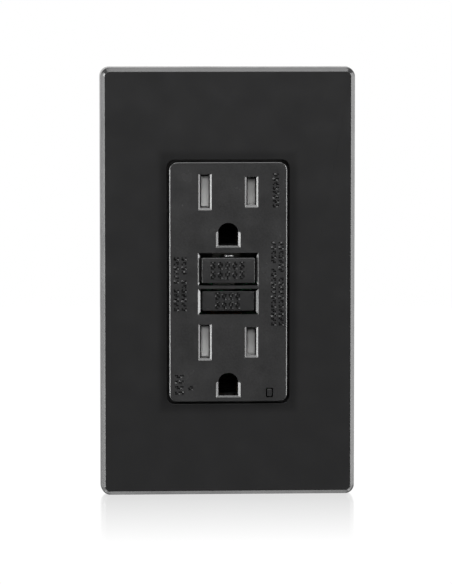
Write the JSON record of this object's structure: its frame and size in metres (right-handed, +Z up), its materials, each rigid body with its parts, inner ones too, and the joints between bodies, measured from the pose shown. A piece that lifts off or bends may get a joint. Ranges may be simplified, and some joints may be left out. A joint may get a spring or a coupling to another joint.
{
  "type": "duplex wall outlet",
  "caption": "Ground-fault duplex wall outlet with tamper-resistant shutters, reset and test buttons, terminal clamps and a screwless cover plate.",
  "frame": {"origin": "on the wall plane, at the centre of the cover plate, where the mounting strap bears on the wall box", "axes": "+X to the right seen from the room, +Y into the wall, +Z up"},
  "size_m": [0.0698, 0.0353, 0.1174],
  "materials": {
    "satin_black_plastic": "satin, very fine texture",
    "moulded_black_plastic": "fine moulded texture",
    "button_black_plastic": "fine moulded texture",
    "shutter_grey_plastic": "smooth",
    "smoked_light_pipe": "polished",
    "zinc_plated_steel": "bright zinc plate",
    "spring_steel": "drawn wire",
    "brass": "stamped",
    "nickel_plated_brass": "nickel plate, satin",
    "green_zinc_steel": "green zinc plate",
    "enamelled_copper": "enamelled wire",
    "frame_grey_plastic": "moulded",
    "carrier_plastic": "moulded",
    "housing_plastic": "moulded",
    "bobbin_plastic": "moulded",
    "fibre_washer": "pressed fibre",
    "board_laminate": "solder mask",
    "varistor_coating": "dipped epoxy",
    "capacitor_coating": "dipped epoxy",
    "chip_epoxy": "moulded epoxy",
    "led_epoxy": "clear epoxy",
    "wound_ferrite": "wound enamelled wire"
  },
  "bodies": {
    "device": {"mounting_frame": "frame_grey_plastic", "frame_screw_top": "zinc_plated_steel", "frame_screw_bottom": "zinc_plated_steel", "face_cover": "moulded_black_plastic", "indicator_window": "smoked_light_pipe", "indicator_led": "led_epoxy", "reset_spring": "spring_steel", "reset_key_spring": "spring_steel", "test_contact_spring": "spring_steel", "upper_shutter_guide": "carrier_plastic", "lower_shutter_guide": "carrier_plastic", "upper_shutter_spring": "spring_steel", "lower_shutter_spring": "spring_steel", "mounting_strap": "zinc_plated_steel", "upper_ground_contact": "brass", "lower_ground_contact": "brass", "box_screw_top": "zinc_plated_steel", "box_screw_bottom": "zinc_plated_steel", "box_screw_retainer_top": "fibre_washer", "box_screw_retainer_bottom": "fibre_washer", "contact_carrier": "carrier_plastic", "load_hot_contact": "brass", "load_neutral_contact": "nickel_plated_brass", "hot_contact_arm": "brass", "neutral_contact_arm": "nickel_plated_brass", "line_hot_terminal": "brass", "line_neutral_terminal": "nickel_plated_brass", "solenoid_bobbin": "bobbin_plastic", "solenoid_winding": "enamelled_copper", "transformer_case": "bobbin_plastic", "sensing_coil": "wound_ferrite", "circuit_board": "board_laminate", "varistor": "varistor_coating", "filter_capacitor": "capacitor_coating", "thyristor": "chip_epoxy", "control_chip": "chip_epoxy", "rear_housing": "housing_plastic", "housing_screw_1": "zinc_plated_steel", "housing_screw_2": "zinc_plated_steel", "housing_screw_3": "zinc_plated_steel", "housing_screw_4": "zinc_plated_steel"},
    "cover": {"cover_plate": "satin_black_plastic"},
    "reset": {"reset_button": "button_black_plastic", "reset_pin": "zinc_plated_steel"},
    "test": {"test_button": "button_black_plastic"},
    "upper_gate": {"upper_shutter": "shutter_grey_plastic"},
    "lower_gate": {"lower_shutter": "shutter_grey_plastic"},
    "latch": {"latch_block": "bobbin_plastic"},
    "catch": {"latch_plate": "zinc_plated_steel"},
    "plunger": {"solenoid_plunger": "zinc_plated_steel"},
    "ground_clamp": {"ground_screw": "green_zinc_steel"},
    "line_hot_clamp": {"line_hot_screw": "brass", "line_hot_clamp_plate": "brass"},
    "line_neutral_clamp": {"line_neutral_screw": "nickel_plated_brass", "line_neutral_clamp_plate": "nickel_plated_brass"},
    "load_hot_clamp": {"load_hot_screw": "brass", "load_hot_clamp_plate": "brass"},
    "load_neutral_clamp": {"load_neutral_screw": "nickel_plated_brass", "load_neutral_clamp_plate": "nickel_plated_brass"}
  },
  "joints": [
    {"name": "cover_plate_release", "type": "slide", "parent": "device", "child": "cover", "axis": [0, -1, 0], "range_m": [0, 0.02]},
    {"name": "reset_press", "type": "slide", "parent": "device", "child": "reset", "axis": [0, 1, 0], "range_m": [0, 0.0015], "stiffness_N_per_m": 700, "springref_m": -0.003, "deforming": ["reset_spring"]},
    {"name": "test_press", "type": "slide", "parent": "device", "child": "test", "axis": [0, 1, 0], "range_m": [0, 0.0015], "stiffness_N_per_m": 500, "springref_m": -0.002, "deforming": ["test_contact_spring"]},
    {"name": "upper_shutter_slide", "type": "slide", "parent": "device", "child": "upper_gate", "axis": [1, 0, 0], "range_m": [0, 0.003], "stiffness_N_per_m": 120, "springref_m": -0.002, "deforming": ["upper_shutter_spring"]},
    {"name": "lower_shutter_slide", "type": "slide", "parent": "device", "child": "lower_gate", "axis": [1, 0, 0], "range_m": [0, 0.003], "stiffness_N_per_m": 120, "springref_m": -0.002, "deforming": ["lower_shutter_spring"]},
    {"name": "latch_block_slide", "type": "slide", "parent": "device", "child": "latch", "axis": [0, 1, 0], "range_m": [0, 0.0016], "deforming": ["hot_contact_arm", "neutral_contact_arm"]},
    {"name": "latch_plate_slide", "type": "slide", "parent": "latch", "child": "catch", "axis": [0, 0, 1], "range_m": [0, 0.0012]},
    {"name": "plunger_slide", "type": "slide", "parent": "device", "child": "plunger", "axis": [0, 0, 1], "range_m": [0, 0.0012], "stiffness_N_per_m": 150, "springref_m": -0.002},
    {"name": "ground_screw_turn_out", "type": "slide", "parent": "device", "child": "ground_clamp", "axis": [0, 0, -1], "range_m": [0, 0.002]},
    {"name": "line_hot_clamp_open", "type": "slide", "parent": "device", "child": "line_hot_clamp", "axis": [1, 0, 0], "range_m": [0, 0.0022]},
    {"name": "line_neutral_clamp_open", "type": "slide", "parent": "device", "child": "line_neutral_clamp", "axis": [-1, 0, 0], "range_m": [0, 0.0022]},
    {"name": "load_hot_clamp_open", "type": "slide", "parent": "device", "child": "load_hot_clamp", "axis": [1, 0, 0], "range_m": [0, 0.0022]},
    {"name": "load_neutral_clamp_open", "type": "slide", "parent": "device", "child": "load_neutral_clamp", "axis": [-1, 0, 0], "range_m": [0, 0.0022]}
  ],
  "couplings": [
    {"joint": "latch_plate_slide", "follows": "plunger_slide", "ratio": 1}
  ]
}
